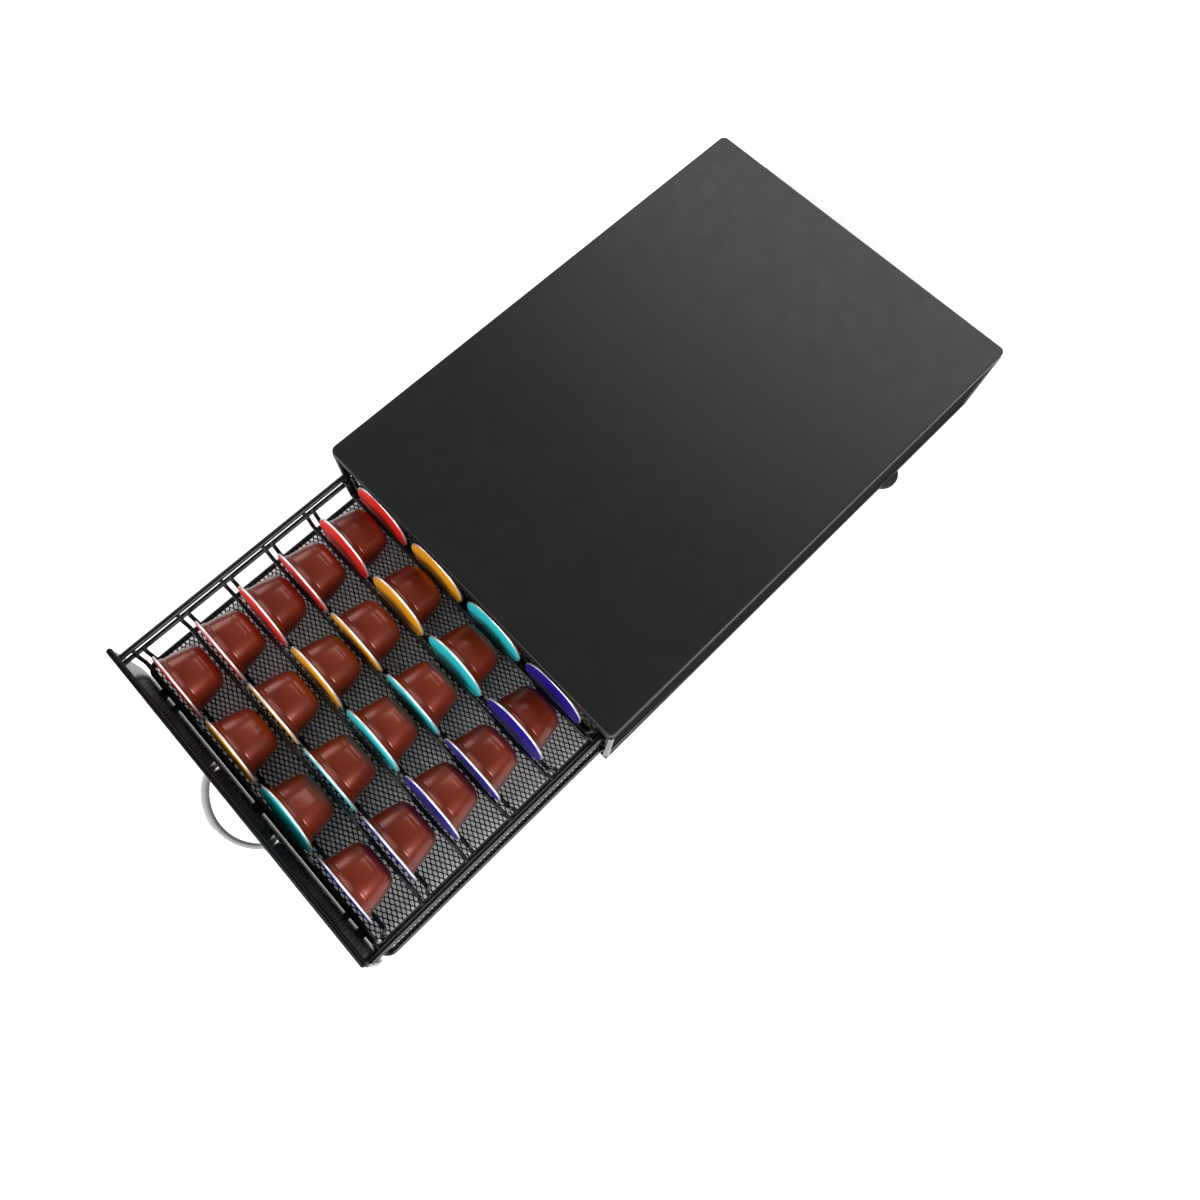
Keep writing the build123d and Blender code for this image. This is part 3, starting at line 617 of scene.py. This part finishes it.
@dataclass
class FineMesh:
    """Expanded steel mesh: zigzag strands, each slightly tilted, that join along short bonds."""

    long_way: float = 4.4 * MM
    short_way: float = 2.45 * MM
    strand: float = 0.60 * MM
    thickness: float = 0.58 * MM
    bond: float = 0.95 * MM
    bond_gap: float = 0.16 * MM
    tilt: float = 24.0

    def sheet(self, low: tuple[float, float], high: tuple[float, float], corner: float = 0.0
              ) -> list[np.ndarray]:
        """Works out the zigzag lines: strand n runs along u at v = n short/2 + a w(u), turned over
        for every other strand. w is a triangle wave from -1 to 1 whose tips are cut flat over the
        length of a bond, and a is half the strands' distance less half the bond's gap.

        Args:
            low: Lowest u and v of the sheet.
            high: Highest u and v.
            corner: Radius of the sheet's corners, which shortens the first and last strands.

        Returns:
            For each strand, its points (u, v).
        """
        step = self.short_way / 2
        reach = (step - self.bond_gap) / 2
        count = int((high[1] - low[1] - 2 * reach - self.strand) / step)
        margin = (high[1] - low[1] - count * step) / 2
        steepness = 1 / (1 - 2 * self.bond / self.long_way)
        lines = []
        for number in range(count):
            middle = low[1] + margin + (number + 0.5) * step
            deep = max(0.0, corner - min(middle - low[1], high[1] - middle))
            cut = corner - math.sqrt(max(0.0, corner**2 - deep**2)) if corner else 0.0
            ends = np.array([low[0] + cut, high[0] - cut])
            tips = np.arange(math.ceil(ends[0] / (self.long_way / 2)),
                             math.floor(ends[1] / (self.long_way / 2)) + 1) * self.long_way / 2
            u = np.sort(np.concatenate([ends, tips - self.bond / 2, tips + self.bond / 2]))
            u = u[(u >= ends[0]) & (u <= ends[1])]
            turns = u / self.long_way
            wave = 4 * np.abs(turns - np.floor(turns + 0.5)) - 1
            flat = np.clip(wave * steepness, -1, 1) * (1 - 2 * (number % 2))
            lines.append(np.stack([u, middle + flat * reach], -1))
        return lines

    def mesh(self, low: tuple[float, float], high: tuple[float, float], level: float,
             axes: tuple[int, int, int], corner: float = 0.0, parts: int = 1) -> list[Mesh]:
        """Carries a tilted flat section along every zigzag line.

        Args:
            low: Lowest u and v of the sheet.
            high: Highest u and v.
            level: Place of the sheet's middle on the third axis.
            axes: Which of X, Y and Z the values u, v and level lie on.
            corner: Radius of the sheet's corners.
            parts: How many meshes the strands are shared out to.

        Returns:
            The meshes, each with its run of strands.
        """
        lean = math.radians(self.tilt)
        wide = self.strand / 2
        tall = (self.thickness / 2 - wide * math.sin(lean)) / math.cos(lean)
        box = np.array([(-wide, -tall), (wide, -tall), (wide, tall), (-wide, tall)])
        turn = np.array([[math.cos(lean), math.sin(lean)], [-math.sin(lean), math.cos(lean)]])
        section = box @ turn
        side, up = np.zeros(3), np.zeros(3)
        side[axes[1]], up[axes[2]] = 1.0, 1.0
        across = np.zeros(3)
        across[axes[0]] = 1.0
        if np.dot(np.cross(side, up), across) < 0:
            section = section[::-1]
        strands = []
        for line in self.sheet(low, high, corner):
            path = np.zeros((len(line), 3))
            path[:, axes[0]], path[:, axes[1]], path[:, axes[2]] = line[:, 0], line[:, 1], level
            strands.append(strip(path, section[::-1], side, up))
        share = math.ceil(len(strands) / parts)
        return [joined(strands[first:first + share]) for first in range(0, len(strands), share)]


@dataclass
class MeshWalls:
    """The fine mesh of the cabinet's three walls and of the drawer's floor."""

    walls: FineMesh = field(default_factory=FineMesh)
    floor: FineMesh = field(default_factory=FineMesh)
    floor_corner: float = 5.4 * MM

    def build(self, shop: Workshop) -> None:
        """Builds the four sheets in the boxes of the nodes that they stand for.

        Args:
            shop: Dresses the pieces.
        """
        for node in ("left_mesh", "right_mesh"):
            low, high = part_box(node)
            mesh = self.walls.mesh((low.y, low.z), (high.y, high.z), (low.x + high.x) / 2,
                                   (1, 2, 0))
            piece = put_mesh("fine_" + node, mesh[0], smooth=False)
            shop.dress(piece, Slot.MESH, Body.CABINET, node)
        low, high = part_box("back_mesh")
        mesh = self.walls.mesh((low.x, low.z), (high.x, high.z), (low.y + high.y) / 2, (0, 2, 1))
        shop.dress(put_mesh("fine_back_mesh", mesh[0], smooth=False), Slot.MESH, Body.CABINET,
                   "back_mesh")
        low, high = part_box("floor_mesh")
        halves = self.floor.mesh((low.x, low.y), (high.x, high.y), (low.z + high.z) / 2,
                                 (0, 1, 2), self.floor_corner, parts=2)
        for name, mesh in zip(("front", "rear"), halves):
            piece = put_mesh("fine_floor_mesh_" + name, mesh, smooth=False)
            shop.dress(piece, Slot.MESH, Body.DRAWER, "floor_mesh")


@dataclass
class Pod:
    """One pod: a thin cup with a rolled flange and a foil lid, facing -Y along its axis."""

    flange: float = 18.5 * MM
    rim: float = 0.6 * MM
    mouth: float = 16.0 * MM
    step: float = 15.3 * MM
    step_depth: float = 3.4 * MM
    wall: float = 0.5 * MM
    bulge: float = 0.22 * MM
    ring: float = 0.16 * MM
    line_depth: float = 0.07 * MM
    line_place: float = 0.12
    line_width: float = 0.035
    bare_width: float = 0.22 * MM
    press: float = 0.10 * MM
    shoulder: float = 12.45 * MM
    shoulder_depth: float = 15.8 * MM
    end: float = 8.95 * MM
    depth: float = 19.6 * MM
    lid: float = 17.7 * MM
    lid_thickness: float = 0.3 * MM
    steps: int = 72

    def cup_profile(self) -> np.ndarray:
        """The cup's closed profile (r, y), from the middle of its end out over the side and the
        rolled rim, and back along the inside. The shoulder is a quadratic curve. The side is a
        straight line with a swell of 4 bulge s (1 - s), less a narrow bell-shaped groove.

        Returns:
            The points of the profile.
        """
        front, back = -self.rim, self.rim
        end_y = front + self.depth
        bend_y = front + self.shoulder_depth
        step_y = front + self.step_depth
        bend = np.linspace(0.0, 1.0, 13)[:, None]
        knee = np.array([self.shoulder - 0.80 * MM, end_y - 0.95 * MM])
        start, stop = np.array([self.end, end_y - self.wall]), np.array([self.shoulder, bend_y])
        shoulder = (1 - bend) ** 2 * start + 2 * bend * (1 - bend) * knee + bend**2 * stop
        share = np.linspace(0.0, 1.0, 25)[1:]
        swell = 4 * self.bulge * share * (1 - share)
        groove = self.line_depth * np.exp(-(((share - self.line_place) / self.line_width) ** 2))
        widening = self.step - self.wall - self.ring - stop[0]
        side = np.stack([stop[0] + widening * share + swell - groove,
                         bend_y + (step_y + 1.5 * MM - bend_y) * share], -1)
        return np.concatenate([
            [(0.0, end_y - 0.9 * MM), (2.2 * MM, end_y - 0.9 * MM), (2.9 * MM, end_y - 0.7 * MM),
             (3.4 * MM, end_y - 0.25 * MM), (4.0 * MM, end_y - 0.12 * MM),
             (self.end - 1.5 * MM, end_y - 0.10 * MM), (self.end - 0.9 * MM, end_y),
             (self.end - self.wall, end_y)],
            shoulder, side,
            [(self.step - self.wall - 0.02 * MM, step_y + 1.05 * MM),
             (self.step - self.wall - 0.12 * MM, step_y + 0.78 * MM),
             (self.step - self.wall - 0.02 * MM, step_y + 0.5 * MM),
             (self.step - self.wall + 0.04 * MM, step_y + 0.25 * MM),
             (self.step - 0.15 * MM, step_y), (self.step, step_y - 0.2 * MM),
             (self.step + 0.2 * MM, back + 1.3 * MM), (self.mouth - 0.25 * MM, back + 0.35 * MM),
             (self.mouth + 0.1 * MM, back + 0.02 * MM), (self.mouth + 0.4 * MM, back - 0.25 * MM),
             (self.flange - 2 * self.rim - 0.2 * MM, back - 0.25 * MM)],
            arc((self.flange - self.rim, 0.0), self.rim, 155.0, -90.0, 27),
            [(self.flange - 2 * self.rim, front), (self.mouth - self.wall, front),
             (self.step - 2 * self.wall, step_y - self.wall),
             (self.shoulder - self.wall, bend_y - self.wall),
             (self.end - 2 * self.wall, end_y - 2.4 * self.wall),
             (0.0, end_y - 2.4 * self.wall)],
        ])

    def rim_range(self, profile: np.ndarray) -> np.ndarray:
        """Says which bands of the profile are the bare rolled rim."""
        middle = (profile[:-1] + profile[1:]) / 2
        return middle[:, 0] > self.flange - self.bare_width

    def lid_profile(self) -> np.ndarray:
        """The lid's closed profile: flat in the middle, with a pressed ring over the flange and
        an edge that follows the front of the rolled rim.

        Returns:
            The points of the profile.
        """
        front = -self.rim - self.lid_thickness
        back = -self.rim
        face = [(0.0, front + 0.06 * MM), (self.mouth - 5.0 * MM, front + 0.06 * MM),
                (self.mouth - 0.9 * MM, front + 0.07 * MM),
                (self.mouth - 0.5 * MM, front + self.press + 0.03 * MM),
                (self.mouth - 0.2 * MM, front + 0.02 * MM), (self.mouth + 0.2 * MM, front),
                (self.lid - 0.20 * MM, front), (self.lid + 0.15 * MM, front + self.press),
                (self.lid + 0.45 * MM, front + 0.30 * MM), (self.lid + 0.62 * MM, back + 0.22 * MM),
                (self.lid + 0.55 * MM, back + 0.30 * MM), (self.lid, back + 0.15 * MM),
                (self.lid - 0.6 * MM, back), (0.0, back)]
        return np.array(face)[::-1]


@dataclass
class PodRows:
    """Where the pods stand: four columns of one colour each, six rows, each leaning a little."""

    pod: Pod = field(default_factory=Pod)
    columns: tuple[tuple[str, Slot], ...] = (("red", Slot.RED), ("orange", Slot.ORANGE),
                                             ("teal", Slot.TEAL), ("blue", Slot.BLUE))
    pitch_across: float = 41.2 * MM
    sideways: float = -2.5 * MM
    first_slot: float = -190.7 * MM
    pitch_along: float = 25.18 * MM
    floor_top: float = 7.7 * MM
    seat_gap: float = 0.1 * MM
    toe: float = 0.3 * MM
    most_forward: float = 1.6 * MM
    first_leans: tuple[float, ...] = (8.0, 10.0, 13.5, 7.5)
    later_leans: tuple[float, ...] = (4.5, 5.5, 1.5, 4.0, 2.0)

    def places(self, column: int) -> list[tuple[np.ndarray, np.ndarray]]:
        """Works out the turn and the place of each pod of a column.

        Args:
            column: Number of the column, from the left.

        Returns:
            For each row, a turning matrix about X and the place of the flange's middle.
        """
        x = self.sideways + (column - (len(self.columns) - 1) / 2) * self.pitch_across
        found = []
        for row, lean in enumerate((self.first_leans[column],) + self.later_leans):
            tilt = math.radians(lean)
            forward = min(self.most_forward, self.toe + self.pod.flange * math.sin(tilt))
            y = self.first_slot + row * self.pitch_along + forward
            centre = (self.pod.flange - self.pod.rim) * math.cos(tilt) + self.pod.rim
            cos, sin = math.cos(-tilt), math.sin(-tilt)
            turn = np.array([[1, 0, 0], [0, cos, -sin], [0, sin, cos]])
            found.append((turn, np.array([x, y, self.floor_top + self.seat_gap + centre])))
        return found

    def build(self, shop: Workshop) -> None:
        """Builds a piece of cups and a piece of lids for each column.

        Args:
            shop: Dresses the pieces.
        """
        outline = self.pod.cup_profile()
        cup, cup_along = turned(outline, self.pod.steps)
        lid, lid_along = turned(self.pod.lid_profile(), self.pod.steps)
        bands = self.pod.rim_range(outline)
        cup_ids = [np.repeat(bands[1:-1], self.pod.steps), np.zeros(self.pod.steps),
                   np.zeros(self.pod.steps)]
        for column, (colour, slot) in enumerate(self.columns):
            places = self.places(column)
            cups = joined([(cup[0] @ turn.T + at, cup[1]) for turn, at in places])
            ids = [np.tile(cup_ids[0], len(places)),
                   np.zeros(2 * self.pod.steps * len(places))]
            piece = put_mesh("cups_" + colour, cups, along=np.tile(cup_along, len(places)),
                             ids=ids)
            shop.dress(piece, Slot.CUP, Body.DRAWER, "pod_cups_" + colour,
                       extra=(shop.bare_rim,))
            lids = joined([(lid[0] @ turn.T + at, lid[1]) for turn, at in places])
            piece = put_mesh("lids_" + colour, lids, along=np.tile(lid_along, len(places)))
            shop.dress(piece, slot, Body.DRAWER, "pod_lids_" + colour)


# ---------------------------------------------------------------- studio


@dataclass
class Lamp:
    """A soft rectangular lamp that looks at a point of the part."""

    name: str
    place: tuple[float, float, float]
    aim: tuple[float, float, float]
    size: tuple[float, float]
    power: float

    def build(self) -> None:
        """Adds the lamp to the scene."""
        light = bpy.data.lights.new(self.name, "AREA")
        light.shape = "RECTANGLE"
        light.size, light.size_y = self.size
        light.energy = self.power
        lamp = bpy.data.objects.new(self.name, light)
        lamp.location = self.place
        way = Vector(self.aim) - Vector(self.place)
        lamp.rotation_euler = way.to_track_quat("-Z", "Y").to_euler()
        lamp.visible_camera = False
        bpy.context.scene.collection.objects.link(lamp)


@dataclass
class Studio:
    """Camera, lamps, world and the pale floor."""

    eye: tuple[float, float, float] = (0.134731, -0.133144, 0.486551)
    turn: tuple[float, float, float] = (21.915335, 0.064151, 46.235899)
    lens: float = 29.8709
    sensor: float = 36.0
    shift: tuple[float, float] = (0.036297, -0.059443)
    floor_size: float = 3.0
    floor_glow: float = 0.35
    lamps: tuple[Lamp, ...] = (
        Lamp("rear_softbox", (-0.14, 1.00, 0.98), (0.0, 0.05, 0.05), (1.6, 0.5), 9.5),
        Lamp("left_key", (-1.15, -0.05, 0.42), (0.0, -0.10, 0.03), (0.8, 0.5), 4.5),
        Lamp("front_fill", (0.15, -1.05, 0.75), (0.0, -0.10, 0.03), (0.9, 0.6), 12.0),
        Lamp("right_low", (1.10, -0.20, 0.50), (0.0, -0.10, 0.03), (0.8, 0.36), 13.0),
    )
    ambient: float = 0.45
    overhead: float = 0.20
    horizon: float = 0.62
    sky_fade: tuple[float, float] = (0.35, 0.88)
    side_fade: tuple[float, float] = (0.090, 0.096)
    front_fade: tuple[float, float] = (-0.1985, -0.1965)

    def camera(self) -> None:
        """Adds the camera at the photograph's viewing angle."""
        data = bpy.data.cameras.new("camera")
        data.sensor_fit = "HORIZONTAL"
        data.sensor_width, data.lens = self.sensor, self.lens
        data.shift_x, data.shift_y = self.shift
        data.clip_start, data.clip_end = 0.01, 20.0
        camera = bpy.data.objects.new("camera", data)
        camera.location = self.eye
        camera.rotation_euler = Euler([math.radians(angle) for angle in self.turn], "XYZ")
        bpy.context.scene.collection.objects.link(camera)
        bpy.context.scene.camera = camera

    def world(self) -> None:
        """Lights from all round at the ambient level, and shows white to the camera. Gloss shows it
        pale near the horizon and dimmer overhead, as in a studio with a dark ceiling."""
        world = bpy.data.worlds.new("world")
        world.use_nodes = True
        world.node_tree.nodes.clear()
        tree = Tree(world.node_tree)
        path = tree.add("ShaderNodeLightPath")
        way = tree.add("ShaderNodeSeparateXYZ",
                       Vector=tree.add("ShaderNodeTexCoord").outputs["Generated"])
        shown = tree.span(way.outputs["Z"], self.horizon, self.overhead, *self.sky_fade)
        gloss = tree.maths("MAXIMUM", path.outputs["Is Glossy Ray"],
                           path.outputs["Is Transmission Ray"])
        level = tree.maths("MAXIMUM", tree.span(gloss, self.ambient, shown),
                           path.outputs["Is Camera Ray"])
        sky = tree.add("ShaderNodeBackground", Color=(1.0, 1.0, 1.0, 1.0), Strength=level)
        ending = tree.add("ShaderNodeOutputWorld")
        world.node_tree.links.new(sky.outputs[0], ending.inputs["Surface"])
        bpy.context.scene.world = world

    def floor(self) -> None:
        """Lays a white floor that takes the object's shadow. Beside the drawer and the cabinet, and
        in front of them, a painted glow that only the camera sees lifts that shadow; under them the
        floor has none."""
        half = self.floor_size / 2
        corners = np.array([(-half, -half, 0.0), (half, -half, 0.0), (half, half, 0.0),
                            (-half, half, 0.0)])
        floor = put_mesh("floor", (corners, [np.array([[0, 1, 2, 3]])]), smooth=False)
        paint = bpy.data.materials.new("floor_white")
        paint.use_nodes = True
        paint.node_tree.nodes.clear()
        tree = Tree(paint.node_tree)
        plain = tree.add("ShaderNodeBsdfDiffuse", Color=(0.95, 0.95, 0.95, 1.0))
        place = tree.add("ShaderNodeSeparateXYZ",
                         Vector=tree.add("ShaderNodeTexCoord").outputs["Object"])
        beside = tree.span(tree.maths("ABSOLUTE", place.outputs["X"]), 0.0, 1.0,
                           *self.side_fade)
        before = tree.span(place.outputs["Y"], 1.0, 0.0, *self.front_fade)
        # Painted light: the floor glows to the camera beside and in front of the drawer and the
        # cabinet, which lifts the shadow there.
        painted_glow_share = tree.maths("MULTIPLY", tree.maths("MAXIMUM", beside, before),
                                tree.add("ShaderNodeLightPath").outputs["Is Camera Ray"])
        glow = tree.add("ShaderNodeEmission", Color=(1.0, 1.0, 1.0, 1.0),
                        Strength=tree.maths("MULTIPLY", painted_glow_share, self.floor_glow))
        both = tree.add("ShaderNodeAddShader")
        ending = tree.add("ShaderNodeOutputMaterial")
        links = paint.node_tree.links
        links.new(plain.outputs[0], both.inputs[0])
        links.new(glow.outputs[0], both.inputs[1])
        links.new(both.outputs[0], ending.inputs["Surface"])
        floor.data.materials.append(paint)

    def build(self) -> None:
        """Builds the whole studio and sets the plain view transform."""
        self.camera()
        self.world()
        self.floor()
        for lamp in self.lamps:
            lamp.build()
        bpy.context.scene.view_settings.view_transform = "Standard"


def main() -> None:
    """Builds the part's looks piece by piece, then the studio."""
    logging.basicConfig(level=logging.INFO, format="%(name)s: %(message)s")
    shop = Workshop()
    shop.paint_nodes()
    for assembly in (SheetTop(), MeshWalls(), PodRows()):
        assembly.build(shop)
        LOG.info("%s built", type(assembly).__name__)
    Studio().build()


if __name__ == "__main__":
    main()
